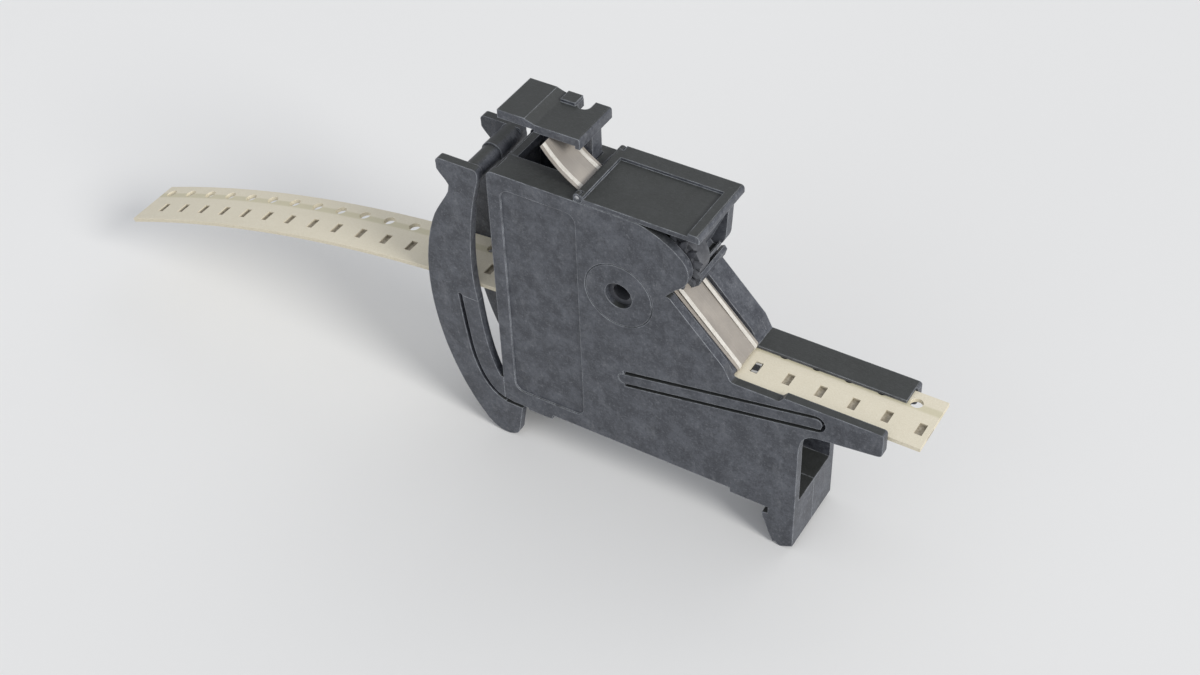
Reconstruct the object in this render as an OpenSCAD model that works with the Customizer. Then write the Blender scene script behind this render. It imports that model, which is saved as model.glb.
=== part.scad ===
// Hand-fed surface-mount tape feeder for one 8 mm paper tape, in millimetres, +Z up.
// Two moulded housing halves carry a film take-up drum on a hollow hub, a thumb lever
// that turns the drum, a hinged cover with an overhung nip roller, and a sprung latch
// that holds the whole feeder on a 35 mm rail.
// Side profiles are drawn with x = 0 at the rail's front edge, y = 0 at the right outer
// face and z = 0 at the body's underside. placed() then moves the origin to the middle
// of the base, below the centre of the whole feeder and its tape.

/* [Body] */
// Thickness of the side plates and latch arms
wall = 1.1; // [1:0.05:1.2]
// Height of the top deck above the underside
deck_z = 35.3; // [35:0.1:35.6]
// Rear edge of the body, behind the rail's front edge
body_rear = 36.7; // [36.3:0.1:37]
// Radial clearance of the parts that turn
fit = 0.05; // [0.03:0.01:0.1]

/* [Rail] */
// Width of the mounting rail
rail_width = 35; // [34.9:0.1:35.1]
// Drop of the two rail seat pads below the underside
seat_drop = 0.7; // [0.5:0.1:0.8]
// Drop of the front leg and the latch foot
leg_drop = 6.5; // [6.4:0.1:6.8]

/* [Tape] */
// Width of the carrier tape
tape_width = 8.0; // [7.9:0.05:8.05]
// Side play of the tape between the two plates
tape_play = 0.2; // [0.15:0.05:0.3]
// Thickness of the carrier tape
tape_thick = 0.55; // [0.4:0.05:0.6]
// Height of the carrier tape's top face
tape_top = 16.78; // [16.7:0.02:16.8]
// Diameter of the sprocket holes
sprocket_d = 1.5; // [1.4:0.05:1.6]
// Radius of the tape's droop behind the body
tail_radius = 190; // [180:5:220]
// Turn of the drooping tail in degrees
tail_turn = 21.4; // [18:0.5:23]

/* [Take-up] */
// Radius of the film drum
drum_r = 5.7; // [5.6:0.05:5.75]
// Tooth size of the gear ring and the nip roller's pinion
gear_module = 0.48; // [0.475:0.005:0.485]
// Teeth of the ratchet ring, one per stroke of the lever
ratchet_teeth = 30; // [30:1:30]

/* [Latch] */
// Width of the slot that frees the latch arm
slit_w = 0.6; // [0.5:0.05:0.65]
// Radius of the pin that joins the two latch arms
cross_pin_r = 1.25; // [1.1:0.05:1.3]

/* [Hidden] */
$fn = 48;

body_width = tape_width + tape_play + 2 * wall;
seam = body_width / 2;
far_in = body_width - wall;
hub = [-19.7, 23.83];
hub_bore = 1.75;
sleeve_r = hub_bore - fit;
drum_teeth = 24;
roller_teeth = 14;
gear_y = [wall + 0.12, wall + 0.56];
axle_dist = gear_module * (drum_teeth + roller_teeth) / 2;
nip = hub + axle_dist * [cos(48), sin(48)];
roller_r = axle_dist - drum_r - 0.1;
axle_r = 0.7;
drum_bore = sleeve_r + fit;
ratchet_y = [far_in - 2.28, far_in - 1.5];
lever_y = [far_in - 0.95, far_in - 0.1];
ratchet_in = 5.85;
ratchet_out = 6.5;
arc_r = 11.75;
corner = [-13.58, 30.35];
corner_r = 2.8;
slant_top = [-13.0, 26.1];
slant_low = [-6.3, 19.0];
slant_dir = (slant_top - slant_low) / norm(slant_top - slant_low);
slant_n = [slant_dir[1], -slant_dir[0]];
tip = slant_low - 0.77 * slant_n - 1.55 * slant_dir;
nose_end = 13.3;
tape_y = seam - tape_width / 2 - 0.03;
tape_front = 17.06;
tail_x = -28.9;
pitch = 4;
pocket_x = 15.935;
pocket_y = tape_y + 2.75;
hole_y = tape_y + tape_width - 1.75;
film_width = tape_width - 2.9;
film_y = ratchet_y[0] - 0.12 - film_width;
film_t = 0.06;
film_r = drum_r + 0.04;
film_bend = 0.37;
film_a = atan2(hub[1] - tip[1], hub[0] - tip[0]) - acos((film_bend - film_r) / norm(hub - tip));
film_n = [cos(film_a), sin(film_a)];
film_dir = [-sin(film_a), cos(film_a)];
strip_w = 1.0;
film_exit = [-25.45, deck_z + 0.08];
film_end = [-30.3, 39.7];
film_turn = acos(film_r / norm(film_exit - hub));
film_exit_a = atan2(film_exit[1] - hub[1], film_exit[0] - hub[0]);
pad_z = [deck_z + 0.05, deck_z + 1.0];
pad_x = [-25.2, -9.5];
hinge = [-24.75, deck_z + 0.52];
hinge_r = 0.25;
cheek = [-13.75, 29.9];
bar = [-39.35, 33.3];
finger_root = [-19.3, 11.15];
finger_tip = [5.3, 15.75];
pawl_pin = hub + 8.2 * [cos(84), sin(84)];
pawl_tooth = 117;
hold_post = hub + 9.6 * [cos(186), sin(186)];
hold_tooth = 213;
hold_line = [hold_post, hub + 6.4 * [cos(hold_tooth), sin(hold_tooth)]];
base_x = (tape_front + tail_x - tail_radius * sin(tail_turn)) / 2;
esd = [0.17, 0.19, 0.22];
esd_light = [0.25, 0.26, 0.29];
paper = [0.86, 0.82, 0.68];
steel = [0.72, 0.73, 0.75];

// Origin to the middle of the base.
module placed() translate([-base_x, -seam, leg_drop]) children();

// Stands a side profile up and gives it the width from y0 to y1.
module slab(y0, y1) translate([0, y1, 0]) rotate([90, 0, 0]) linear_extrude(y1 - y0) children();

// Round bar along the width.
module rod(p, r, y0, y1) slab(y0, y1) translate(p) circle(r);

// Straight stroke with round ends.
module stroke(a, b, w) {
  translate(a) circle(w / 2);
  translate(b) circle(w / 2);
  translate(a)
    rotate(atan2(b[1] - a[1], b[0] - a[0]))
      translate([0, -w / 2]) square([norm(b - a), w]);
}

// Box from one corner of the profile to the other.
module box(a, b) translate(a) square(b - a);

function polar(c, r, a) = c + r * [cos(a), sin(a)];

// Points of an arc.
function arc(c, r, a0, a1, n = 10) = [for (i = [0:n]) polar(c, r, a0 + (a1 - a0) * i / n)];

// Points of a cubic curve from a to d, steered by b and c.
function curve(a, b, c, d, n = 12) = [for (i = [0:n]) let (t = i / n, u = 1 - t)
  u * u * u * a + 3 * u * u * t * b + 3 * u * t * t * c + t * t * t * d];

// Ribbon of thickness t along a list of points.
module ribbon(p, t) {
  n = len(p) - 1;
  side = [for (i = [0:n]) let (d = p[min(i + 1, n)] - p[max(i - 1, 0)]) [-d[1], d[0]] / norm(d)];
  polygon(concat([for (i = [0:n]) p[i] + side[i] * t / 2],
    [for (i = [n:-1:0]) p[i] - side[i] * t / 2]));
}

// Side plate with front leg, nose and hook. flange_z is the top of the nose.
module plate_profile(flange_z) polygon(concat(
  [[-body_rear, -0.15], [-35.3, -0.4], [-33.3, -0.4], [-33.2, -seat_drop]],
  [[-29.9, -seat_drop], [-29.6, 0], [-5.1, 0], [-5, -seat_drop], [0, -seat_drop]],
  [[0, -1.72], [-0.75, -1.9], [-0.75, -2.3], [0.3, -5], [0.8, -6.2]],
  arc([1.8, -leg_drop + 0.5], 0.5, 180, 300, 4),
  [[3.4, -5.75], [3.4, 10]],
  curve([3.4, 10], [3.4, 12.6], [4.2, 13.5], [6.1, 13.6], 8),
  [[12.7, 14.4]],
  arc([nose_end - 0.5, 14.95], 0.5, -70, 0, 4),
  arc([nose_end - 0.4, flange_z - 0.4], 0.4, 0, 90, 4),
  [[1.3, flange_z], [0.7, min(flange_z, 17.05)], [-4.9, min(flange_z, 17.05)]],
  arc([-5.1, 17.5], 0.4, 270, 200, 4),
  [slant_low],
  arc(polar(slant_top, 0.7, 225), 0.7, 45, 110, 5),
  arc(corner, corner_r, -62, 54, 12),
  arc(hub, arc_r, 52, 77, 10),
  arc(hub + [0, 0], deck_z - hub[1], 90, 90, 1),
  arc([-body_rear + 0.8, deck_z - 0.8], 0.8, 90, 180, 6)));

// Centreline of the slot that frees the latch arm.
slit_line = concat([[-34, -0.7], [-36.3, -0.6]],
  curve([-37, -0.4], [-39.6, 0.4], [-40.9, 4.5], [-41.3, 8], 10),
  [[-41.7, 11], [-42.1, 14.5]]);

// Latch arm and its flexing strip before the slot is cut.
module latch_profile() difference() {
  polygon(concat(
    [[-34.2, -0.95], [-34.9, -5.2]],
    curve([-35.2, -5.8], [-36.2, -leg_drop - 0.15], [-38, -leg_drop - 0.35], [-39.6, -5], 6),
    curve([-39.6, -5], [-45.2, 1.5], [-48.6, 14.5], [-45, 25], 20),
    curve([-45, 25], [-44.4, 27], [-42.9, 28.8], [-42.3, 30.2], 6),
    curve([-42.1, 31.2], [-42.4, 31.9], [-43.1, 32.3], [-43.6, 33.1], 5),
    arc([-43.1, 34.1], 0.55, 200, 95, 5),
    arc([-38.6, 34.0], 0.65, 90, 0, 5),
    curve([-38, 33.2], [-39.5, 28.4], [-40.6, 20.5], [-39.5, 14.5], 12),
    curve([-39.5, 14.5], [-39.2, 10.4], [-38.5, 5.8], [-37.2, 3.3], 8),
    [[-body_rear, 3.2], [-body_rear, -0.95]]));
  ribbon(slit_line, slit_w);
  translate([-42.1, 14.5]) circle(slit_w / 2);
}

// The part of the latch that bends, between the slot and the body.
module strip_zone() polygon(concat(
  [for (i = [1:len(slit_line) - 1]) slit_line[i]],
  [[-body_rear, 14.5], [-body_rear, -0.2]]));

module latch_arm_profile() difference() {
  latch_profile();
  strip_zone();
}

module latch_strip_profile() intersection() {
  latch_profile();
  strip_zone();
}

// Walls of the shell, drawn as far as the middle of the body.
module shell_profile() {
  box([-body_rear, -0.1], [-body_rear + 1.2, 14.4]);
  box([-body_rear, 17.5], [-body_rear + 1.2, deck_z - 0.8]);
  box([-35.5, -0.1], [-29.6, 1.2]);
  box([-33.2, -seat_drop], [-29.8, 1.2]);
  box([-29.8, 0], [-5, 1.2]);
  box([-5, -seat_drop], [-0.1, 1.2]);
}

// Bottom block of the front leg, with the tooth that hooks the rail.
module tooth_profile() intersection() {
  plate_profile(17);
  box([-1, -7], [3.4, 1.2]);
}

// Floor under the carrier tape.
module tape_floor() {
  box([-30, 15.1], [nose_end - 0.6, tape_top - tape_thick - 0.05]);
  box([5, 14.4], [nose_end - 0.6, 16]);
}

// Guide under the peeled film, ending in the peel edge.
module film_guide() stroke(tip, tip + 9.8 * film_dir, 0.6);

module finger_profile() {
  polygon([finger_root + [0.2, 0.7], finger_tip + [-0.2, 0.72],
    finger_tip + [-0.1, -0.72], finger_root + [0.25, -0.68]]);
  translate(finger_tip) circle(0.74);
  translate(finger_root) circle(0.7);
}

// Twin slots that free the finger, joined round its tip.
module finger_slot() {
  polygon([finger_root + [0.1, 0.72], finger_root + [-0.1, 1.2], finger_tip + [-0.3, 1.15],
    finger_tip + [0.2, -1.18], finger_root + [0.1, -1.2], finger_root + [0.1, -0.72]]);
  translate(finger_tip) circle(1.16);
  translate(finger_root) circle(0.7 + fit);
}

module label_recess() {
  box([-35, 3.3], [-25.1, 32]);
  box([-33.7, 2], [-26.4, 33.3]);
  for (x = [-33.7, -26.4], z = [3.3, 32]) translate([x, z]) circle(1.3);
}

pegs = [[-33.6, 5.2], [-34.1, 28.2], [-8, 4.4]];

module right_housing() placed() color(esd) difference() {
  union() {
    slab(0, wall) plate_profile(17.75);
    slab(0, seam) {
      shell_profile();
      tooth_profile();
      tape_floor();
      film_guide();
    }
    slab(0, 3.9) box([-body_rear, deck_z - 1.1], [-25.7, deck_z - 0.7]);
    slab(0.8, 3.9) box([-body_rear + 0.8, deck_z - 1.1], [-25.7, deck_z]);
    // hinge lug of the cover
    slab(0.15, 0.85) {
      translate(hinge) circle(0.5);
      box([hinge[0] - 0.5, deck_z - 0.3], hinge + [0.5, 0]);
    }
    for (p = pegs) rod(p, 1.7, 0, seam);
  }
  rod(hub, hub_bore, -1, 3);
  // engraved ring round the hub
  slab(-1, 0.15) difference() {
    translate(hub) circle(4.42);
    translate(hub) circle(4.28);
  }
  slab(-1, 0.2) label_recess();
  slab(-1, wall + 1) finger_slot();
  slab(wall, 3) box([3.2, 14], [6.7, 17]);
  rod(hinge, hinge_r, -1, 2);
  for (p = pegs) rod(p, 0.9 + fit, seam - 2.6, seam + 1);
}

// Cover's cheek and everything in front of it, cut from the left plate.
module cheek_clearance() {
  translate(cheek) circle(2.9);
  polygon([[-16.65, 29.9], [-16.65, 40], [0, 40], [0, 27.2], [-12.4, 27.2]]);
}

module left_housing() placed() color(esd) difference() {
  union() {
    slab(far_in, body_width) difference() {
      plate_profile(17.2);
      cheek_clearance();
    }
    slab(seam, body_width) {
      shell_profile();
      tooth_profile();
      tape_floor();
      film_guide();
    }
    // broad flange beside the film, with the stop lip above it
    slab(film_y + film_width + 0.12, body_width) polygon([slant_top - 1.2 * slant_dir,
      slant_low, [-5.7, 17.6], [-5.4, 17.2], [-6.2, 17.0], slant_low - [1.2, 0.4],
      slant_top - [-0.2, 1.9]]);
    slab(4.15, body_width) polygon([[-12.6, 24.9], [-11.7, 25.6], [-11.45, 26.5],
      [-11.75, 26.95], [-12.25, 26.7], [-12.75, 25.6]]);
    slab(6.8, body_width) box([-5.5, tape_top + 0.05], [13, 17.2]);
    // deck at the back of the lever slot and the stop at its front
    slab(3.95, body_width) box([-body_rear + 0.8, deck_z - 1.1], [-34.9, deck_z]);
    slab(7.3, body_width) box([-26.8, deck_z - 1.1], [-25.7, deck_z]);
    slab(far_in + 0.25, body_width - 0.1) {
      translate(hinge) circle(0.5);
      box([hinge[0] - 0.5, deck_z - 0.3], hinge + [0.5, 0]);
    }
    for (p = pegs) {
      rod(p, 1.7, seam, body_width);
      rod(p, 0.9, seam - 2.5, body_width);
    }
    rod(hold_post, 0.9, ratchet_y[0], body_width);
  }
  // slit that grips the holding spring
  slab(ratchet_y[0] - 1, ratchet_y[1] - 0.04) ribbon(hold_line, 0.27);
  rod(hub, hub_bore, 8, 12);
  rod(hinge, hinge_r, 9, 12);
  slab(far_in - 1, far_in + 0.8) translate(polar(hub, 3.75, 250)) circle(0.33);
}

module right_latch_arm() placed() color(esd) {
  slab(0, wall) latch_arm_profile();
  rod(bar, cross_pin_r, 0, seam + 3);
}

module left_latch_arm() placed() color(esd) difference() {
  union() {
    slab(far_in, body_width) latch_arm_profile();
    rod(bar, cross_pin_r + 0.2, seam, body_width);
  }
  rod(bar, cross_pin_r, seam - 1, seam + 3.1);
}

module right_latch_strip() placed() color(esd) slab(0, wall) latch_strip_profile();

module left_latch_strip() placed() color(esd) slab(far_in, body_width) latch_strip_profile();

// Sprung finger in the right plate; its ledge presses the tape up.
module pressure_finger() placed() color(esd) {
  slab(0, wall) finger_profile();
  slab(0, 2.7) box(finger_tip + [-1.7, -0.6], [finger_tip[0] + 0.6, tape_top - tape_thick - 0.05]);
}

module hub_sleeve() placed() color(esd_light) difference() {
  rod(hub, hub_bore, 0.8, body_width - 0.8);
  rod(hub, 1.1, 0, body_width);
  // thinner between the plates, where the drum and the lever turn
  difference() {
    rod(hub, hub_bore + 1, wall, far_in);
    rod(hub, sleeve_r, 0, body_width);
  }
}

// One gear with pointed teeth.
module gear_profile(n, add, root, phase) {
  r = gear_module * n / 2;
  step = 360 / n;
  circle(root);
  for (i = [0:n - 1]) rotate(phase + i * step)
    polygon([[root * 0.9, -0.6], polar([0, 0], root, -step * 0.33), polar([0, 0], r, -step * 0.215),
      polar([0, 0], r + add, -step * 0.07), polar([0, 0], r + add, step * 0.07),
      polar([0, 0], r, step * 0.215), polar([0, 0], root, step * 0.33), [root * 0.9, 0.6]]);
}

// Saw teeth that drive one way only.
module ratchet_profile() {
  step = 360 / ratchet_teeth;
  circle(ratchet_in);
  for (i = [0:ratchet_teeth - 1]) rotate(pawl_tooth + i * step)
    polygon([[ratchet_in - 0.4, 0], [ratchet_out, 0], polar([0, 0], ratchet_in, step),
      polar([0, 0], ratchet_in - 0.4, step)]);
}

module feed_drum() placed() color(esd_light) difference() {
  union() {
    slab(gear_y[0], gear_y[1]) translate(hub) gear_profile(drum_teeth, 0.45, 5.15, 48);
    rod(hub, 5.1, gear_y[0], ratchet_y[0]);
    rod(hub, drum_r, gear_y[1] + 0.08, ratchet_y[0]);
    slab(ratchet_y[0] - 0.05, ratchet_y[1]) translate(hub) ratchet_profile();
    rod(hub, 2.7, gear_y[0], lever_y[0] - 0.35);
  }
  rod(hub, drum_bore, 0, body_width);
  // well for the lever's return spring
  difference() {
    rod(hub, 4.8, 4.6, body_width);
    rod(hub, 2.7, 0, body_width);
  }
}

module nip_roller() placed() color(esd_light) difference() {
  union() {
    slab(gear_y[0], gear_y[1]) translate(nip)
      gear_profile(roller_teeth, 0.48, 2.75, 228 + 180 / roller_teeth);
    rod(nip, 2.7, gear_y[0], 4);
    rod(nip, roller_r, gear_y[1] + 0.08, 4);
  }
  rod(nip, axle_r + fit, 0, 5);
}

// Overhung axle pressed into the cover's block.
module roller_axle() placed() color(steel) {
  rod(nip, axle_r, gear_y[0], 8.6);
}

module pad_profile() {
  translate(hinge) circle(0.47);
  box([hinge[0], pad_z[0]], [pad_x[1] - 0.3, pad_z[1]]);
  translate([pad_x[1] - 0.45, pad_z[1] - 0.45]) circle(0.45);
  box([pad_x[1] - 0.8, pad_z[0]], [pad_x[1], pad_z[1] - 0.45]);
}

// Front block of the cover, ribbed at its foot.
module block_profile() difference() {
  polygon([[-17.2, pad_z[0] + 0.1], [-9.9, pad_z[0] + 0.1], [-12.75, 28.75], [-12.95, 28.35],
    [-12.6, 27.9], [-12.1, 27.85], [-11.85, 28.35], [-11.65, 28.3], [-11.7, 27.75],
    [-12.15, 27.3], [-14, 27.6], [-16.4, 29.5]]);
  translate(hub) circle(ratchet_out + 0.45);
}

module cheek_profile() {
  translate(cheek) circle(2.8);
  polygon([[-16.55, 29.9], [-16.55, pad_z[0] + 0.1], [-10.6, pad_z[0] + 0.1], [-10.95, 29.9]]);
}

module pinch_cover() placed() color(esd) difference() {
  union() {
    slab(0, body_width) pad_profile();
    slab(4.15, far_in) block_profile();
    slab(far_in - 0.2, body_width) cheek_profile();
    // short ribs under the front of the pad
    for (x = [-18.6, -16.6]) slab(1.3, 4.2) box([x, 34.5], [x + 0.6, pad_z[0] + 0.1]);
  }
  // thumb recess, open to the right side
  slab(-1, 8.2) box([-23.9, pad_z[1] - 0.35], [-10.9, pad_z[1] + 1]);
  rod(hinge, hinge_r + fit, -1, body_width + 1);
  slab(-1, 0.95) translate(hinge) circle(0.65);
  slab(far_in + 0.15, body_width + 1) translate(hinge) circle(0.65);
  rod(nip, axle_r, 3, 8.65);
}

module cover_hinge_pin() placed() color(steel) rod(hinge, hinge_r, 0.2, body_width - 0.2);

// Lever plate, stem and thumb tab.
module feed_lever() placed() color(esd) difference() {
  union() {
    slab(lever_y[0], lever_y[1]) {
      translate(hub) circle(3.3);
      stroke(hub, [-27.9, 32.2], 3.4);
      stroke(hub, pawl_pin, 2.4);
      box([-29.1, 31.9], [-26.95, 40.6]);
    }
    slab(far_in - 2.1, lever_y[1]) box([-29.1, 33], [-26.95, 40.6]);
    slab(3.4, body_width - 0.05) {
      box([-36.9, 40.3], [-33.3, 41.4]);
      polygon([[-33.4, 40.3], [-33.4, 41.4], [-32, 40.95], [-32, 40.3]]);
      box([-32.1, 39.95], [-26.55, 40.95]);
      box([-26.8, 39.6], [-26.2, 40.65]);
      translate([-26.5, 40.65]) circle(0.3);
    }
    slab(far_in - 0.7, body_width - 0.05) box([-31.8, 40.5], [-29.9, 41.35]);
  }
  rod(hub, drum_bore, 0, body_width);
  rod(pawl_pin, 0.5, 7, body_width);
  slab(8, body_width) translate(polar(hub, 3.75, 128)) circle(0.33);
  // notch in the far edge of the tab
  translate([0, body_width - 1.1, 0]) rod_up([-29.05, 0], 0.8);
  translate([-29.85, body_width - 1.1, 39]) cube([1.6, 2, 4]);
}

module rod_up(p, r) translate([p[0], p[1], 39]) cylinder(h = 4, r = r);

module drive_pawl() placed() color(esd_light) slab(ratchet_y[0] + 0.05, ratchet_y[1] - 0.05) difference() {
  union() {
    translate(pawl_pin) circle(1.0);
    polygon([pawl_pin + [0.5, 0.8], polar(hub, 7.3, pawl_tooth - 5), polar(hub, ratchet_out + 0.3, pawl_tooth - 1.4),
      polar(hub, ratchet_in + 0.15, pawl_tooth - 1.4), polar(hub, ratchet_in + 0.35, pawl_tooth - 4),
      polar(hub, ratchet_out + 0.22, pawl_tooth - 11), pawl_pin + [0.2, -0.95]]);
  }
  translate(pawl_pin) circle(0.5 + fit);
}

module drive_pawl_pin() placed() color(steel) rod(pawl_pin, 0.5, ratchet_y[0], lever_y[1] - 0.1);

// Leaf from the lever's arm to the back of the pawl.
module drive_pawl_spring() placed() color(steel) slab(ratchet_y[0] + 0.15, lever_y[0])
  ribbon([polar(hub, 8.3, 129), polar(hub, 8.45, 119), polar(hub, 8.2, 110), polar(hub, 7.85, 103)], 0.2);

// Leaf clamped to the left half; its tip drops behind a ratchet tooth.
module holding_spring() placed() color(steel) slab(ratchet_y[0] + 0.05, ratchet_y[1] - 0.05)
  ribbon(hold_line, 0.25);

module lever_return_spring() placed() color(steel) {
  translate([hub[0], lever_y[0] - 0.65, hub[1]]) rotate([90, 0, 0]) rotate_extrude()
    for (i = [0:5]) translate([3.75, i * 0.55]) circle(0.3);
  rod(polar(hub, 3.75, 250), 0.22, lever_y[0] - 0.75, far_in + 0.6);
  rod(polar(hub, 3.75, 128), 0.22, lever_y[0] - 0.75, lever_y[1] - 0.1);
}

// Carrier tape: a straight run and the drooping tail.
module tape_profile() {
  box([tail_x - 0.01, tape_top - tape_thick], [tape_front, tape_top]);
  difference() {
    translate([tail_x, tape_top - tail_radius]) intersection() {
      difference() {
        circle(tail_radius, $fn = 720);
        circle(tail_radius - tape_thick, $fn = 720);
      }
      polygon([[0, 0], [0, 2 * tail_radius], 2 * tail_radius * [-sin(tail_turn), cos(tail_turn)]]);
    }
  }
}

// Carries its children to a distance s behind the first pocket, along the tape.
module along(s) {
  x = pocket_x - s;
  turn = (tail_x - x) / tail_radius * 180 / PI;
  if (x > tail_x) translate([x, 0, tape_top]) children();
  else translate([tail_x, 0, tape_top - tail_radius]) rotate([0, -turn, 0])
    translate([0, 0, tail_radius]) children();
}

pockets = floor((pocket_x - tail_x + tail_radius * tail_turn * PI / 180 - 1) / pitch);

module carrier_tape() placed() color(paper) difference() {
  translate([0, tape_y, 0]) slab(0, tape_width) tape_profile();
  for (i = [0:pockets]) along(i * pitch) {
    translate([-0.47, pocket_y - 0.92, -0.42]) cube([0.94, 1.84, 1]);
    translate([-pitch / 2, hole_y, -2]) cylinder(h = 3, r = sprocket_d / 2);
  }
}

film_line = concat([[-27, tape_top + 0.05], [-7, tape_top + 0.05]],
  arc(tip, film_bend, -80, film_a, 8),
  arc(hub, film_r, film_a, film_exit_a - film_turn, 6),
  [film_exit]);

module cover_tape() placed() color([0.9, 0.92, 0.95, 0.45])
  slab(film_y, film_y + film_width) ribbon(film_line, film_t);

// Adhesive left on the film's two edges.
module adhesive_strips() placed() color([0.95, 0.93, 0.88])
  for (y = [film_y, film_y + film_width - strip_w])
    slab(y, y + strip_w) ribbon([tip + 0.43 * film_n + 0.3 * film_dir,
      tip + 0.43 * film_n + 8.8 * film_dir], 0.04);

module cover_tape_tail() placed() color([0.9, 0.92, 0.95, 0.45])
  slab(film_y, film_y + film_width) ribbon([film_exit, film_end], film_t);

module tail_adhesive_strips() placed() color([0.95, 0.93, 0.88])
  for (y = [film_y, film_y + film_width - strip_w])
    slab(y, y + strip_w) ribbon([film_exit + [0.04, 0.06], film_end + [0.04, 0.06]], 0.04);

// Chips waiting in the pockets behind the peel edge and the one next out.
module chip_resistors() placed() color([0.08, 0.08, 0.09])
  for (i = [5:11]) along(i * pitch)
    translate([-0.4, pocket_y - 0.8, -0.4]) cube([0.8, 1.6, 0.36]);

right_housing();
left_housing();
right_latch_arm();
left_latch_arm();
right_latch_strip();
left_latch_strip();
pressure_finger();
hub_sleeve();
feed_drum();
nip_roller();
roller_axle();
pinch_cover();
cover_hinge_pin();
feed_lever();
drive_pawl();
drive_pawl_pin();
drive_pawl_spring();
holding_spring();
lever_return_spring();
carrier_tape();
cover_tape();
adhesive_strips();
cover_tape_tail();
tail_adhesive_strips();
chip_resistors();
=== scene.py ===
import math

import bpy
from bpy.props import FloatProperty, FloatVectorProperty, PointerProperty
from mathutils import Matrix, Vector


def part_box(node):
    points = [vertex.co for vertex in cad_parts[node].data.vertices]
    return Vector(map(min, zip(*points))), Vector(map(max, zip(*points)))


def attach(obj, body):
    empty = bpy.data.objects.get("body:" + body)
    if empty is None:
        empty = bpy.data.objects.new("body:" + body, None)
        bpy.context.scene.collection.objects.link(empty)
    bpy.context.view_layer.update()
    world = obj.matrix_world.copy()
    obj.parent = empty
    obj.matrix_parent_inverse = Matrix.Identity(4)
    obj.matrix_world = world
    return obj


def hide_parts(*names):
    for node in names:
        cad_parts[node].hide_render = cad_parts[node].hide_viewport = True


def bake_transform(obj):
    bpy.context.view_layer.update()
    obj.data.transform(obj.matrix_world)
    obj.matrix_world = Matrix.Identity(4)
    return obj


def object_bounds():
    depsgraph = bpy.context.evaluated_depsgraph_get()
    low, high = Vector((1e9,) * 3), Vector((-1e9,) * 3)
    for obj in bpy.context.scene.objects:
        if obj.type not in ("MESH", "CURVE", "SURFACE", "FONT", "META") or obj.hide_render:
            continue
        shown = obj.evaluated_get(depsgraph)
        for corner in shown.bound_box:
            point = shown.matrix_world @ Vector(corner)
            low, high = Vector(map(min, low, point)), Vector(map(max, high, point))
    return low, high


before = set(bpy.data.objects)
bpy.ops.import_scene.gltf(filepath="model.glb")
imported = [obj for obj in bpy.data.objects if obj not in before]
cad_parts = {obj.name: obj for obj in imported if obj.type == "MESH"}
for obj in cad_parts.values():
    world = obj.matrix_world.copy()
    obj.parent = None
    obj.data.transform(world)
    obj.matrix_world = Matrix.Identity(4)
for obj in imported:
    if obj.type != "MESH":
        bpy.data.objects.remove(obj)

bl_info = {
    "name": "Tape Feeder Finish",
    "version": (1, 0, 0),
    "blender": (4, 5, 0),
    "location": "View3D > Sidebar > Tape Feeder",
    "description": "Finishes the plastic, tape, film, springs and stage of a hand tape feeder",
    "category": "Object",
}

MM = 0.001
CAD_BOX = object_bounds()
SLEEVE_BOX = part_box("hub_sleeve")
TAPE_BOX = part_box("carrier_tape")
FILM_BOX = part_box("cover_tape")
HUB = (SLEEVE_BOX[0] + SLEEVE_BOX[1]) / 2

TAPE_CURVE_MM = 190
TAPE_BEND_MM = -9.2
POCKET_PITCH_MM = 4
WAITING_CHIPS = 7
CHIP_WIDTH_MM = 0.76
CHIP_HEIGHT_MM = 0.34
TINNED_SHARE = 0.31
BAND_THICKNESS_MM = 0.05
WIRE_RADIUS_MM = 0.26
COIL_TURNS = 5
COIL_RISE_MM = 0.56
LEG_REACH_MM = 3.75
HELD_LEG_DEG = 250
DRIVEN_LEG_DEG = 128
MERGE_DISTANCE = 0.000002

MOULDED_NODES = (
    "right_housing", "left_housing", "right_latch_arm", "left_latch_arm",
    "pressure_finger", "pinch_cover", "feed_lever",
)
INNER_NODES = ("hub_sleeve", "feed_drum", "nip_roller", "drive_pawl")
STEEL_NODES = (
    "roller_axle", "cover_hinge_pin", "drive_pawl_pin", "holding_spring",
)


# Shapes shared by several pieces

def from_hub(x_mm, z_mm):
    """A point of the side profile, given in millimetres from the hub's axis."""
    return Vector((HUB.x + x_mm * MM, HUB.z + z_mm * MM))


def around(centre, radius_mm, start_deg, end_deg, steps):
    """Points of an arc in the side profile."""
    points = []
    for step in range(steps + 1):
        angle = math.radians(start_deg + (end_deg - start_deg) * step / steps)
        points.append(centre + radius_mm * MM * Vector((math.cos(angle), math.sin(angle))))
    return points


def steered(start, guide, end, steps):
    """Points of a curve from start to end that leans towards guide."""
    points = []
    for step in range(steps + 1):
        t = step / steps
        points.append(start * (1 - t) ** 2 + guide * 2 * t * (1 - t) + end * t ** 2)
    return points


PEEL_EDGE = from_hub(13.912, -6.443)
FILM_EXIT = from_hub(-5.75, 11.55)
FILM_END = from_hub(-10.6, 15.87)
FILM_RUN = around(PEEL_EDGE, 0.37, -60, 44.4, 8) + around(HUB.xz, 5.74, 44.4, 52.9, 3) + [FILM_EXIT]
BAND_RUN = around(PEEL_EDGE, 0.42, -30, 44.4, 6) + [from_hub(4.3, 4.35)]
TAIL_RUN = steered(FILM_EXIT, from_hub(-8.75, 13.3), FILM_END, 8)


# Modelling steps

def start_piece(name):
    """Names the primitive that was just added."""
    piece = bpy.context.active_object
    piece.name = name
    piece.data.name = name
    return piece


def only(piece):
    """Selects this piece alone and makes it active."""
    bpy.ops.object.select_all(action="DESELECT")
    piece.select_set(True)
    bpy.context.view_layer.objects.active = piece


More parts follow.
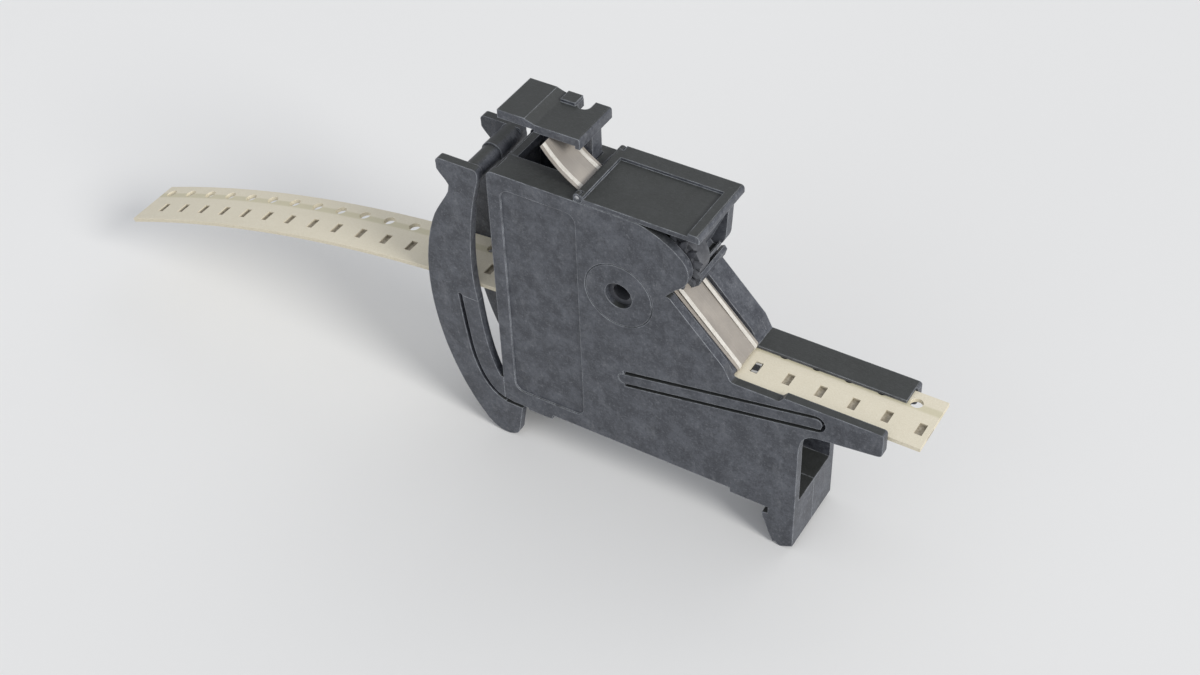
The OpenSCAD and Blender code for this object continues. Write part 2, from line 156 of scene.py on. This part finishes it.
def settle(piece):
    """Puts the piece's place into its mesh."""
    only(piece)
    bpy.ops.object.transform_apply(location=True, rotation=True, scale=True)


def select_points(piece, wanted):
    """In object mode, selects the vertices that wanted accepts."""
    mesh = piece.data
    for polygon in mesh.polygons:
        polygon.select = False
    for edge in mesh.edges:
        edge.select = False
    for vertex in mesh.vertices:
        vertex.select = wanted(vertex.co)
    for edge in mesh.edges:
        edge.select = all(mesh.vertices[i].select for i in edge.vertices)
    for polygon in mesh.polygons:
        polygon.select = all(mesh.vertices[i].select for i in polygon.vertices)


def edit(piece, component="VERT"):
    """Opens edit mode on the piece with what is selected in its mesh."""
    only(piece)
    bpy.ops.object.mode_set(mode="EDIT")
    bpy.ops.mesh.select_mode(type=component)


def leave_edit():
    """Goes back to object mode."""
    bpy.ops.object.mode_set(mode="OBJECT")


def finish_with(piece, kind, **settings):
    """Adds a modifier with these settings and applies it."""
    only(piece)
    modifier = piece.modifiers.new(kind.title(), kind)
    for key, value in settings.items():
        setattr(modifier, key, value)
    bpy.ops.object.modifier_apply(modifier=modifier.name)


def face_outwards(piece):
    """Merges the piece's doubles and turns its faces outwards."""
    select_points(piece, lambda point: True)
    edit(piece)
    bpy.ops.mesh.select_all(action="SELECT")
    bpy.ops.mesh.remove_doubles(threshold=MERGE_DISTANCE)
    bpy.ops.mesh.normals_make_consistent(inside=False)
    leave_edit()


def smooth_by_angle(piece, degrees):
    """Smooths the shading, but keeps edges sharper than this angle."""
    only(piece)
    bpy.ops.object.shade_smooth_by_angle(angle=math.radians(degrees))


def dress(piece, material):
    """Gives a modelled piece its one finish."""
    piece.data.materials.clear()
    piece.data.materials.append(material)


def bending_copy(node_name, name, material):
    """A merged copy of a CAD node, left in its place while the node is hidden."""
    only(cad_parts[node_name])
    bpy.ops.object.duplicate()
    copy = start_piece(name)
    copy.parent = None
    copy.matrix_world.identity()
    face_outwards(copy)
    dress(copy, material)
    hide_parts(node_name)
    return copy


def dress_node(name, material):
    """Gives a CAD node its finish."""
    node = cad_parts[name]
    if not node.material_slots:
        node.data.materials.append(material)
    for slot in node.material_slots:
        slot.material = material


def band(name, run, low_y, high_y, thickness):
    """A strip of film: the edge of a small plane is extruded along the run, then thickened."""
    bpy.ops.object.select_all(action="DESELECT")
    first, second = run[0], run[1]
    middle = (first + second) / 2
    bpy.ops.mesh.primitive_plane_add(size=1, location=(middle.x, (low_y + high_y) / 2, middle.y))
    piece = start_piece(name)
    step = second - first
    piece.dimensions = (step.length, high_y - low_y, 0)
    piece.rotation_euler = (0, -math.atan2(step.y, step.x), 0)
    settle(piece)
    reach = max(vertex.co.xz.dot(step) for vertex in piece.data.vertices)
    select_points(piece, lambda point: point.xz.dot(step) > reach - 1e-9)
    edit(piece, "EDGE")
    for here, there in zip(run[1:], run[2:]):
        move = there - here
        bpy.ops.mesh.extrude_region_move(
            TRANSFORM_OT_translate={"value": (move.x, 0, move.y)})
    leave_edit()
    finish_with(piece, "SOLIDIFY", thickness=thickness, offset=0)
    face_outwards(piece)
    smooth_by_angle(piece, 30)
    return piece


# Finishes

class Finish:
    """Builds a material's nodes, one step a line."""

    def __init__(self, name):
        self.material = bpy.data.materials.new(name)
        self.material.use_nodes = True
        self.tree = self.material.node_tree
        self.shader = self.tree.nodes["Principled BSDF"]
        coordinates = self.tree.nodes.new("ShaderNodeTexCoord")
        self.place = coordinates.outputs["Object"]

    def add(self, kind, settings=(), **inputs):
        node = self.tree.nodes.new(kind)
        for key, value in dict(settings).items():
            setattr(node, key, value)
        for key, value in inputs.items():
            self.feed(node.inputs[key.replace("_", " ")], value)
        return node

    def feed(self, socket, value):
        if isinstance(value, bpy.types.NodeSocket):
            self.tree.links.new(value, socket)
        else:
            socket.default_value = value

    def noise(self, scale, detail=4.0, roughness=0.55, distortion=0.0, vector=None):
        return self.add("ShaderNodeTexNoise", Vector=vector or self.place, Scale=scale,
                        Detail=detail, Roughness=roughness, Distortion=distortion).outputs["Fac"]

    def stretched(self, scale, turn=(0, 0, 0)):
        return self.add("ShaderNodeMapping", Vector=self.place, Scale=scale,
                        Rotation=turn).outputs["Vector"]

    def between(self, value, low, high, out_low=0.0, out_high=1.0):
        node = self.add("ShaderNodeMapRange", {"interpolation_type": "SMOOTHSTEP"})
        for index, number in enumerate((value, low, high, out_low, out_high)):
            self.feed(node.inputs[index], number)
        return node.outputs["Result"]

    def maths(self, operation, first, second=0.0, third=0.0):
        node = self.add("ShaderNodeMath", {"operation": operation})
        for index, number in enumerate((first, second, third)):
            self.feed(node.inputs[index], number)
        return node.outputs["Value"]

    def blend(self, share, first, second):
        node = self.add("ShaderNodeMix", {"data_type": "RGBA"})
        self.feed(node.inputs[0], share)
        self.feed(node.inputs[6], first)
        self.feed(node.inputs[7], second)
        return node.outputs[2]

    def parts(self, vector):
        return self.add("ShaderNodeSeparateXYZ", Vector=vector).outputs

    def set(self, **sockets):
        for key, value in sockets.items():
            self.feed(self.shader.inputs[key.replace("_", " ")], value)

    def relief(self, height, depth, normal=None):
        node = self.add("ShaderNodeBump", Height=height, Strength=1.0, Distance=depth)
        if normal:
            self.feed(node.inputs["Normal"], normal)
        self.set(Normal=node.outputs["Normal"])


def rgba(tone):
    """The tone with full opacity."""
    return (tone[0], tone[1], tone[2], 1.0)


def carbon_plastic(settings):
    """Carbon-filled moulding: cloudy blotches, fine speckle, pale worn edges, and a painted
    olive-grey shade on the faces that look up.
    """
    finish = Finish("Carbon-filled plastic")
    clouds = finish.noise(430, 7, 0.66, 0.35)
    wisps = finish.noise(1.0, 6, 0.7, 0.6, finish.stretched((620, 620, 300), (0, 0.9, 0.2)))
    fibres = finish.noise(1.0, 3, 0.6, 0.4, finish.stretched((900, 3800, 3200), (0, 0.6, 0)))
    speckle = finish.noise(5200, 2, 0.5)
    body = finish.blend(finish.between(clouds, 0.34, 0.70), rgba(settings.plastic_dark),
                        rgba(settings.plastic_light))
    body = finish.blend(finish.between(wisps, 0.50, 0.78, 0, 0.42), body,
                        rgba(settings.plastic_bloom))
    body = finish.blend(finish.between(speckle, 0.58, 0.74, 0, 0.45), body,
                        rgba(settings.plastic_bloom))
    grit = finish.noise(1900, 7, 0.78)
    body = finish.blend(finish.between(grit, 0.52, 0.68, 0, 0.50), body,
                        rgba(settings.plastic_bloom))
    body = finish.blend(finish.between(grit, 0.48, 0.34, 0, 0.60), body, (0.026, 0.028, 0.035, 1))
    body = finish.blend(finish.between(speckle, 0.40, 0.28, 0, 0.45), body, (0.018, 0.02, 0.026, 1))
    normal = finish.add("ShaderNodeNewGeometry").outputs["Normal"]
    # Painted shade: faces that look up are blended towards a darker olive-grey, standing in for the
    # dark surroundings they reflect.
    top_shade_share = finish.parts(normal)[2]
    body = finish.blend(finish.between(top_shade_share, 0.75, 0.98, 0, 0.82), body,
                        rgba(settings.painted_top_shade))
    rounded = finish.add("ShaderNodeBevel", {"samples": 6}, Radius=settings.edge_round)
    worn = finish.add("ShaderNodeBevel", {"samples": 6}, Radius=settings.edge_round * 1.7)
    facing = finish.add("ShaderNodeVectorMath", {"operation": "DOT_PRODUCT"})
    finish.feed(facing.inputs[0], worn.outputs["Normal"])
    finish.feed(facing.inputs[1], normal)
    rim = finish.between(facing.outputs["Value"], 0.985, 0.80, 0, 0.9)
    patchy = finish.between(finish.noise(900, 4, 0.6), 0.30, 0.62, 0.25, 1)
    edge = finish.maths("MULTIPLY", rim, patchy)
    body = finish.blend(edge, body, rgba(settings.plastic_edge))
    finish.set(Base_Color=body, Roughness=finish.between(clouds, 0.3, 0.7, 0.40, 0.56),
               Specular_IOR_Level=0.5)
    grain = finish.maths("MULTIPLY_ADD", fibres, 0.5, finish.noise(2600, 3, 0.6))
    finish.relief(grain, 0.000035, rounded.outputs["Normal"])
    return finish.material


def plain_plastic(settings):
    """Smoother grey moulding of the parts that turn."""
    finish = Finish("Grey plastic")
    clouds = finish.noise(700, 5, 0.6, 0.6)
    body = finish.blend(finish.between(clouds, 0.38, 0.68), rgba(settings.inner_dark),
                        rgba(settings.inner_light))
    rounded = finish.add("ShaderNodeBevel", {"samples": 4}, Radius=settings.edge_round * 0.6)
    finish.set(Base_Color=body, Roughness=finish.between(clouds, 0.3, 0.7, 0.34, 0.46))
    finish.relief(finish.noise(4200, 2), 0.00002, rounded.outputs["Normal"])
    return finish.material


def spring_steel():
    """Drawn and ground steel with fine lines along it."""
    finish = Finish("Ground steel")
    lines = finish.noise(1.0, 3, 0.6, 0.0, finish.stretched((9000, 700, 9000)))
    tone = finish.blend(finish.between(lines, 0.3, 0.7), (0.42, 0.43, 0.44, 1),
                        (0.62, 0.62, 0.63, 1))
    finish.set(Base_Color=tone, Metallic=1.0, Roughness=finish.between(lines, 0.3, 0.7, 0.22, 0.38))
    finish.relief(lines, 0.000006)
    return finish.material


def paper_board(settings):
    """Cream board with fibres, cut edges, and pocket floors darkened with painted shade in a
    brownish tone.
    """
    finish = Finish("Paper board")
    x, y, z = finish.parts(finish.place)
    top = TAPE_BOX[1].z
    bend_x = HUB.x + TAPE_BEND_MM * MM
    radius = TAPE_CURVE_MM * MM
    behind = finish.maths("MINIMUM", finish.maths("SUBTRACT", x, bend_x), 0.0)
    height = finish.maths("SUBTRACT", z, top - radius)
    reach = finish.maths("SQRT", finish.maths("ADD", finish.maths("MULTIPLY", behind, behind),
                                              finish.maths("MULTIPLY", height, height)))
    depth = finish.maths("SUBTRACT", radius, reach)
    inside = finish.between(depth, 0.00006, 0.00026)
    above = finish.between(depth, 0.00052, 0.00048)
    edge_y = TAPE_BOX[0].y
    near = finish.between(y, edge_y + 1.75 * MM, edge_y + 1.80 * MM)
    far = finish.between(y, edge_y + 3.80 * MM, edge_y + 3.70 * MM)
    pocket = finish.maths("MULTIPLY", finish.maths("MULTIPLY", inside, above),
                          finish.maths("MULTIPLY", near, far))
    fibres = finish.noise(1.0, 5, 0.7, 0.5, finish.stretched((5200, 9500, 8000)))
    clouds = finish.noise(420, 4, 0.6)
    sheet = finish.blend(finish.between(fibres, 0.32, 0.70), rgba(settings.paper_shade),
                         rgba(settings.paper_light))
    sheet = finish.blend(finish.between(clouds, 0.45, 0.75, 0, 0.30), sheet,
                         rgba(settings.paper_shade))
    sealed = finish.maths(
        "MULTIPLY", finish.between(y, edge_y + 5.1 * MM, edge_y + 5.5 * MM),
        finish.between(y, edge_y + 6.5 * MM, edge_y + 6.1 * MM, 0, 0.6))
    sheet = finish.blend(sealed, sheet, rgba(settings.sealed_paper))
    cut = finish.blend(finish.between(fibres, 0.35, 0.6), (0.50, 0.44, 0.32, 1),
                       (0.66, 0.60, 0.46, 1))
    # Painted shade: the pocket floors get a darker brownish tone, standing in for the shade inside
    # the recesses.
    floor = finish.blend(finish.between(finish.noise(3600, 3), 0.35, 0.65),
                         rgba(settings.pocket_floor_shade), (0.47, 0.43, 0.35, 1))
    board = finish.blend(finish.between(depth, 0.00003, 0.00012, 0, 0.55), sheet, cut)
    finish.set(Base_Color=finish.blend(pocket, board, floor), Roughness=0.72,
               Specular_IOR_Level=0.3)
    finish.relief(finish.maths("MULTIPLY_ADD", clouds, 0.4, fibres), 0.00003)
    return finish.material


def clear_film(settings):
    """Hazy cover film with faint draw lines along it."""
    finish = Finish("Cover film")
    lines = finish.noise(1.0, 4, 0.6, 0.2, finish.stretched((300, 5200, 300)))
    haze = finish.noise(260, 3, 0.5)
    tone = finish.blend(finish.between(haze, 0.35, 0.7), rgba(settings.film_shade),
                        rgba(settings.film_light))
    finish.set(Base_Color=tone, Roughness=finish.between(lines, 0.3, 0.7, 0.16, 0.30), Alpha=0.74,
               Coat_Weight=0.35, Coat_Roughness=0.08)
    finish.relief(lines, 0.000018)
    return finish.material


def dried_adhesive(settings):
    """Opaque white adhesive left in a slightly lumpy band."""
    finish = Finish("Adhesive band")
    lumps = finish.noise(1.0, 4, 0.65, 0.6, finish.stretched((1500, 3800, 1500)))
    tone = finish.blend(finish.between(lumps, 0.32, 0.66), rgba(settings.band_shade),
                        rgba(settings.band_light))
    finish.set(Base_Color=tone, Roughness=finish.between(lumps, 0.3, 0.7, 0.32, 0.52))
    finish.relief(lumps, 0.00005)
    return finish.material


def chip_finish(name, dark, light, metallic, roughness, scale):
    """Finely spotted finish for one part of a chip."""
    finish = Finish(name)
    spots = finish.noise(scale, 3, 0.6)
    finish.set(Base_Color=finish.blend(finish.between(spots, 0.35, 0.65), dark, light),
               Metallic=metallic, Roughness=roughness)
    finish.relief(spots, 0.000012)
    return finish.material


# Sizes and colours that can be changed

def colour(name, description, default):
    """A colour that can be changed in the panel."""
    return FloatVectorProperty(name=name, description=description, subtype="COLOR", size=3,
                               min=0.0, max=1.0, default=default)


class PlasticSettings(bpy.types.PropertyGroup):
    """Tones and softened edges of the plastic"""

    plastic_dark: colour("Dark plastic", "Darkest tone of the carbon-filled moulding",
                         (0.040, 0.044, 0.055))
    plastic_light: colour("Light plastic", "Cloudy lighter tone of the moulding",
                          (0.096, 0.103, 0.120))
    plastic_bloom: colour("Bloom", "Pale wisps and specks in the moulding", (0.190, 0.198, 0.215))
    # Painted shade: a darker olive-grey laid on faces that look up, in place of the reflection they
    # catch.
    painted_top_shade: colour("Painted top shade", "Olive-grey tone of the faces that look up",
                        (0.036, 0.038, 0.033))
    plastic_edge: colour("Worn edge", "Pale tone of rubbed edges", (0.36, 0.38, 0.41))
    inner_dark: colour("Inner dark", "Dark tone of the parts that turn", (0.050, 0.052, 0.060))
    inner_light: colour("Inner light", "Light tone of the parts that turn", (0.100, 0.104, 0.115))
    edge_round: FloatProperty(name="Edge round", description="Radius of the softened edges",
                              default=0.00013, min=0.00002, max=0.0005, unit="LENGTH", precision=5)


class TapeSettings(bpy.types.PropertyGroup):
    """Tones of the tape and film, and the sizes of the film and its bands"""

    paper_light: colour("Paper", "Cream tone of the board", (0.82, 0.765, 0.625))
    paper_shade: colour("Paper shade", "Darker fibres of the board", (0.74, 0.68, 0.53))
    sealed_paper: colour("Sealed paper", "Yellowed band where the film was sealed",
                         (0.58, 0.54, 0.36))
    # Painted shade: darker brownish tone of the pocket floors, in place of the shade in the
    # recesses.
    pocket_floor_shade: colour("Pocket floor shade", "Tone of the bottom of the pockets", (0.34, 0.30, 0.23))
    film_light: colour("Film", "Light tone of the cover film", (0.50, 0.455, 0.40))
    film_shade: colour("Film shade", "Hazy tone of the cover film", (0.40, 0.365, 0.325))
    band_light: colour("Adhesive", "Light tone of the adhesive bands", (0.74, 0.715, 0.66))
    band_shade: colour("Adhesive shade", "Shaded tone of the adhesive bands", (0.60, 0.57, 0.51))
    film_thickness: FloatProperty(
        name="Film thickness", description="Thickness of the cover film",
        default=0.00006, min=0.00003, max=0.0002, unit="LENGTH", precision=5)
    band_margin: FloatProperty(
        name="Band margin", description="Bare film outside each adhesive band",
        default=0.0004, min=0.0, max=0.001, unit="LENGTH", precision=5)
    band_width: FloatProperty(name="Band width", description="Width of each adhesive band",
                              default=0.00055, min=0.0003, max=0.0015, unit="LENGTH", precision=5)


class StageSettings(bpy.types.PropertyGroup):
    """Floor, lights and lens of the stage"""

    floor_colour: colour("Floor", "Colour of the floor", (0.84, 0.84, 0.83))
    key_light: FloatProperty(name="Key light", description="Strength of the main soft light",
                             default=2.0, min=0.0, max=20.0)
    fill_light: FloatProperty(name="Fill light", description="Strength of each fill light",
                              default=0.22, min=0.0, max=20.0)
    lens: FloatProperty(name="Lens", description="Focal length of the camera in millimetres",
                        default=54.367, min=20.0, max=200.0)


# One operator for each piece or group of like pieces

class FEEDER_OT_moulded_parts(bpy.types.Operator):
    """Finish the housing halves, latch arms, finger, cover and lever in carbon-filled plastic"""
    bl_idname = "feeder.moulded_parts"
    bl_label = "Moulded Parts"

    def execute(self, context):
        plastic = carbon_plastic(context.scene.feeder_plastic)
        for name in MOULDED_NODES:
            dress_node(name, plastic)
        return {"FINISHED"}


class FEEDER_OT_latch_strips(bpy.types.Operator):
    """Replace the two latch strips with merged copies in carbon-filled plastic"""
    bl_idname = "feeder.latch_strips"
    bl_label = "Latch Strips"

    def execute(self, context):
        plastic = bpy.data.materials["Carbon-filled plastic"]
        for side in ("right", "left"):
            strip = bending_copy(f"{side}_latch_strip", f"{side}_bending_strip", plastic)
            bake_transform(strip)
        return {"FINISHED"}


class FEEDER_OT_turning_parts(bpy.types.Operator):
    """Finish the drum, nip roller, pawl and hub sleeve in plain grey plastic"""
    bl_idname = "feeder.turning_parts"
    bl_label = "Turning Parts"

    def execute(self, context):
        plastic = plain_plastic(context.scene.feeder_plastic)
        for name in INNER_NODES:
            dress_node(name, plastic)
        return {"FINISHED"}


class FEEDER_OT_steel_parts(bpy.types.Operator):
    """Finish the pins in ground steel and replace the pawl's leaf with a merged steel copy"""
    bl_idname = "feeder.steel_parts"
    bl_label = "Steel Parts"

    def execute(self, context):
        steel = spring_steel()
        for name in STEEL_NODES:
            dress_node(name, steel)
        leaf = bending_copy("drive_pawl_spring", "pawl_leaf", steel)
        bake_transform(leaf)
        return {"FINISHED"}


class FEEDER_OT_return_spring(bpy.types.Operator):
    """Wind the lever's return spring as a real coil with its two legs"""
    bl_idname = "feeder.return_spring"
    bl_label = "Return Spring"

    def execute(self, context):
        low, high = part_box("lever_return_spring")
        wire = WIRE_RADIUS_MM * MM
        coil_radius = (high.x - low.x) / 2 - 0.3 * MM
        coil_low = low.y + 0.3 * MM
        rise = COIL_RISE_MM * MM
        bpy.ops.object.select_all(action="DESELECT")
        bpy.ops.mesh.primitive_circle_add(
            vertices=10, radius=wire, fill_type="NOTHING",
            location=(coil_radius, 0, 0), rotation=(math.pi / 2, 0, 0))
        spring = start_piece("return_spring_coil")
        settle(spring)
        finish_with(spring, "SCREW", angle=2 * math.pi, screw_offset=rise, iterations=COIL_TURNS,
                    steps=36, render_steps=36, axis="Z", use_merge_vertices=True)
        edit(spring)
        bpy.ops.mesh.select_all(action="SELECT")
        bpy.ops.mesh.remove_doubles(threshold=MERGE_DISTANCE)
        bpy.ops.mesh.select_all(action="DESELECT")
        bpy.ops.mesh.select_mode(type="EDGE")
        bpy.ops.mesh.select_non_manifold()
        bpy.ops.mesh.edge_face_add()
        leave_edit()
        spring.rotation_euler = (-math.pi / 2, 0, 0)
        spring.location = (HUB.x, coil_low, HUB.z)
        settle(spring)
        legs = []
        held = around(HUB.xz, LEG_REACH_MM, HELD_LEG_DEG, HELD_LEG_DEG, 1)[0]
        driven = around(HUB.xz, LEG_REACH_MM, DRIVEN_LEG_DEG, DRIVEN_LEG_DEG, 1)[0]
        for foot, top in ((held, high.y - 0.1 * MM), (driven, high.y - 0.95 * MM)):
            base = coil_low + rise * (COIL_TURNS - 1.5)
            bpy.ops.object.select_all(action="DESELECT")
            bpy.ops.mesh.primitive_cylinder_add(
                vertices=10, radius=wire * 0.8, depth=top - base,
                location=(foot.x, (top + base) / 2, foot.y), rotation=(math.pi / 2, 0, 0))
            leg = start_piece("return_spring_leg")
            settle(leg)
            legs.append(leg)
        only(spring)
        for leg in legs:
            leg.select_set(True)
        bpy.ops.object.join()
        face_outwards(spring)
        smooth_by_angle(spring, 50)
        dress(spring, bpy.data.materials["Ground steel"])
        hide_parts("lever_return_spring")
        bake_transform(spring)
        return {"FINISHED"}


class FEEDER_OT_paper_tape(bpy.types.Operator):
    """Finish the carrier tape as cream board with pocket floors darkened by painted shade"""
    bl_idname = "feeder.paper_tape"
    bl_label = "Paper Tape"

    def execute(self, context):
        dress_node("carrier_tape", paper_board(context.scene.feeder_tape))
        return {"FINISHED"}


class FEEDER_OT_cover_film(bpy.types.Operator):
    """Model the peeled film, its free end under the lever's tab and its adhesive bands"""
    bl_idname = "feeder.cover_film"
    bl_label = "Cover Film"

    def execute(self, context):
        settings = context.scene.feeder_tape
        clear = clear_film(settings)
        white = dried_adhesive(settings)
        low_y, high_y = FILM_BOX[0].y, FILM_BOX[1].y
        under = TAPE_BOX[1].z + 0.05 * MM
        waiting = [Vector((FILM_BOX[0].x, under)), Vector((PEEL_EDGE.x - 1.2 * MM, under))]
        film = band("peeled_film", waiting + FILM_RUN, low_y, high_y, settings.film_thickness)
        dress(film, clear)
        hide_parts("cover_tape")
        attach(film, "housing")
        tail = band("film_tail", TAIL_RUN, low_y, high_y, settings.film_thickness)
        dress(tail, clear)
        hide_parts("cover_tape_tail")
        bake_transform(tail)
        raised = Vector((0.62, 0.78)) * 0.055 * MM
        margin = settings.band_margin
        sides = (("near", low_y + margin, low_y + margin + settings.band_width),
                 ("far", high_y - margin - settings.band_width, high_y - margin))
        fixed, free = [], []
        for side, start_y, end_y in sides:
            fixed.append(band(f"{side}_band", BAND_RUN, start_y, end_y,
                              BAND_THICKNESS_MM * MM))
            free.append(band(f"{side}_tail_band", [point + raised for point in TAIL_RUN],
                             start_y, end_y, BAND_THICKNESS_MM * MM))
        for strips, node in ((fixed, "adhesive_strips"), (free, "tail_adhesive_strips")):
            only(strips[0])
            strips[1].select_set(True)
            bpy.ops.object.join()
            strip = start_piece(f"{node}_raised")
            dress(strip, white)
            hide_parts(node)
        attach(fixed[0], "housing")
        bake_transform(free[0])
        return {"FINISHED"}


class FEEDER_OT_chip_resistors(bpy.types.Operator):
    """Model the waiting chip resistors with glazed tops and tinned ends"""
    bl_idname = "feeder.chip_resistors"
    bl_label = "Chip Resistors"

    def execute(self, context):
        ceramic = chip_finish("Alumina", (0.62, 0.61, 0.57, 1), (0.78, 0.77, 0.73, 1),
                              0.0, 0.55, 9000)
        tin = chip_finish("Tin plating", (0.55, 0.54, 0.51, 1), (0.72, 0.71, 0.68, 1),
                          0.7, 0.42, 12000)
        glaze = chip_finish("Black glaze", (0.010, 0.010, 0.012, 1),
                            (0.028, 0.028, 0.030, 1), 0.0, 0.25, 7000)
        low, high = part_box("chip_resistors")
        width, length, height = CHIP_WIDTH_MM * MM, high.y - low.y, CHIP_HEIGHT_MM * MM
        bpy.ops.object.select_all(action="DESELECT")
        bpy.ops.mesh.primitive_cube_add(size=1)
        chip = start_piece("chip_with_tinned_ends")
        chip.dimensions = (width, length, height)
        settle(chip)
        for cut in (-TINNED_SHARE, TINNED_SHARE):
            edit(chip)
            bpy.ops.mesh.select_all(action="SELECT")
            bpy.ops.mesh.bisect(plane_co=(0, cut * length, 0), plane_no=(0, 1, 0))
            leave_edit()
        for material in (ceramic, tin, glaze):
            chip.data.materials.append(material)
        for face in chip.data.polygons:
            if abs(face.center.y) > TINNED_SHARE * length:
                face.material_index = 1
            elif face.normal.z > 0.9:
                face.material_index = 2
        for mesh_part in (chip.data.vertices, chip.data.edges, chip.data.polygons):
            for item in mesh_part:
                item.select = False
        for face in chip.data.polygons:
            face.select = face.material_index == 2
        edit(chip, "FACE")
        bpy.ops.mesh.inset(thickness=0.03 * MM, depth=0.012 * MM)
        leave_edit()
        finish_with(chip, "BEVEL", width=0.02 * MM, segments=2, limit_method="ANGLE")
        first = Vector((high.x - 0.4 * MM, (low.y + high.y) / 2, (low.z + high.z) / 2))
        chips = [chip]
        for index in range(1, WAITING_CHIPS):
            only(chip)
            bpy.ops.object.duplicate()
            chips.append(start_piece(f"chip_{index}"))
        turns = (4, -5, 2, 0, 3, -2, 1)
        for index, piece in enumerate(chips):
            piece.location = first - Vector((index * POCKET_PITCH_MM * MM, 0, 0))
            piece.rotation_euler = (0, 0, math.radians(turns[index]))
            settle(piece)
        only(chip)
        for piece in chips:
            piece.select_set(True)
        bpy.ops.object.join()
        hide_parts("chip_resistors")
        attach(chip, "tape")
        return {"FINISHED"}


class FEEDER_OT_stage(bpy.types.Operator):
    """Set the floor, the soft lights and the camera"""
    bl_idname = "feeder.stage"
    bl_label = "Stage"

    def execute(self, context):
        settings = context.scene.feeder_stage
        bpy.ops.object.select_all(action="DESELECT")
        bpy.ops.mesh.primitive_plane_add(size=4, location=(0, 0, CAD_BOX[0].z - 0.00002))
        floor = start_piece("studio_floor")
        settle(floor)
        finish = Finish("Studio floor")
        tone = finish.blend(finish.between(finish.noise(6, 2), 0.3, 0.7),
                            rgba(settings.floor_colour),
                            rgba(tuple(value * 0.985 for value in settings.floor_colour)))
        finish.set(Base_Color=tone, Roughness=0.62, Specular_IOR_Level=0.25)
        dress(floor, finish.material)

        world = bpy.data.worlds.new("Soft studio")
        world.use_nodes = True
        context.scene.world = world
        nodes, links = world.node_tree.nodes, world.node_tree.links
        background = nodes["Background"]
        background.inputs["Color"].default_value = (0.93, 0.95, 1.0, 1.0)
        seen = nodes.new("ShaderNodeLightPath")
        either = nodes.new("ShaderNodeMath")
        either.operation = "MAXIMUM"
        links.new(seen.outputs["Is Camera Ray"], either.inputs[0])
        links.new(seen.outputs["Is Transmission Ray"], either.inputs[1])
        level = nodes.new("ShaderNodeMapRange")
        level.inputs["To Min"].default_value = 0.58
        level.inputs["To Max"].default_value = 0.92
        links.new(either.outputs[0], level.inputs["Value"])
        links.new(level.outputs["Result"], background.inputs["Strength"])

        aim = Vector((0.012, 0, 0.022))
        lamps = (
            ("key_light", (0.36, -0.10, 0.24), 20, settings.key_light, (1.0, 0.985, 0.96)),
            ("front_light", (-0.10, -0.38, 0.22), 40, settings.fill_light, (0.93, 0.96, 1.0)),
            ("back_light", (0.10, 0.34, 0.30), 40, settings.fill_light, (1.0, 1.0, 1.0)),
        )
        for name, place, spread, strength, tint in lamps:
            bpy.ops.object.light_add(type="SUN", location=place)
            lamp = context.active_object
            lamp.name = name
            lamp.data.energy = strength
            lamp.data.angle = math.radians(spread)
            lamp.data.color = tint
            lamp.rotation_euler = (aim - Vector(place)).to_track_quat("-Z", "Y").to_euler()

        bpy.ops.object.camera_add(location=(0.101058, -0.135653, 0.164643),
                                  rotation=(0.827876, 0.028571, 0.539500))
        camera = context.active_object
        camera.name = "studio_camera"
        camera.data.lens = settings.lens
        camera.data.sensor_width = 36.0
        camera.data.clip_start = 0.005
        context.scene.camera = camera
        context.scene.view_settings.view_transform = "Standard"
        return {"FINISHED"}


OPERATORS = (
    FEEDER_OT_stage, FEEDER_OT_moulded_parts, FEEDER_OT_latch_strips, FEEDER_OT_turning_parts,
    FEEDER_OT_steel_parts, FEEDER_OT_return_spring, FEEDER_OT_paper_tape, FEEDER_OT_cover_film,
    FEEDER_OT_chip_resistors,
)


class FEEDER_PT_finish(bpy.types.Panel):
    """Lists the feeder's settings and its steps in order"""
    bl_idname = "FEEDER_PT_finish"
    bl_label = "Tape Feeder"
    bl_space_type = "VIEW_3D"
    bl_region_type = "UI"
    bl_category = "Tape Feeder"

    def draw(self, context):
        layout = self.layout
        for group in (context.scene.feeder_plastic, context.scene.feeder_tape,
                      context.scene.feeder_stage):
            box = layout.box()
            for name in group.__annotations__:
                box.prop(group, name)
        for operator in OPERATORS:
            layout.operator(operator.bl_idname)


CLASSES = (PlasticSettings, TapeSettings, StageSettings, *OPERATORS, FEEDER_PT_finish)


def register():
    for cls in CLASSES:
        bpy.utils.register_class(cls)
    bpy.types.Scene.feeder_plastic = PointerProperty(type=PlasticSettings)
    bpy.types.Scene.feeder_tape = PointerProperty(type=TapeSettings)
    bpy.types.Scene.feeder_stage = PointerProperty(type=StageSettings)


def unregister():
    del bpy.types.Scene.feeder_plastic
    del bpy.types.Scene.feeder_tape
    del bpy.types.Scene.feeder_stage
    for cls in reversed(CLASSES):
        bpy.utils.unregister_class(cls)


def main():
    register()
    bpy.ops.feeder.stage()
    bpy.ops.feeder.moulded_parts()
    bpy.ops.feeder.latch_strips()
    bpy.ops.feeder.turning_parts()
    bpy.ops.feeder.steel_parts()
    bpy.ops.feeder.return_spring()
    bpy.ops.feeder.paper_tape()
    bpy.ops.feeder.cover_film()
    bpy.ops.feeder.chip_resistors()


if __name__ == "__main__":
    main()
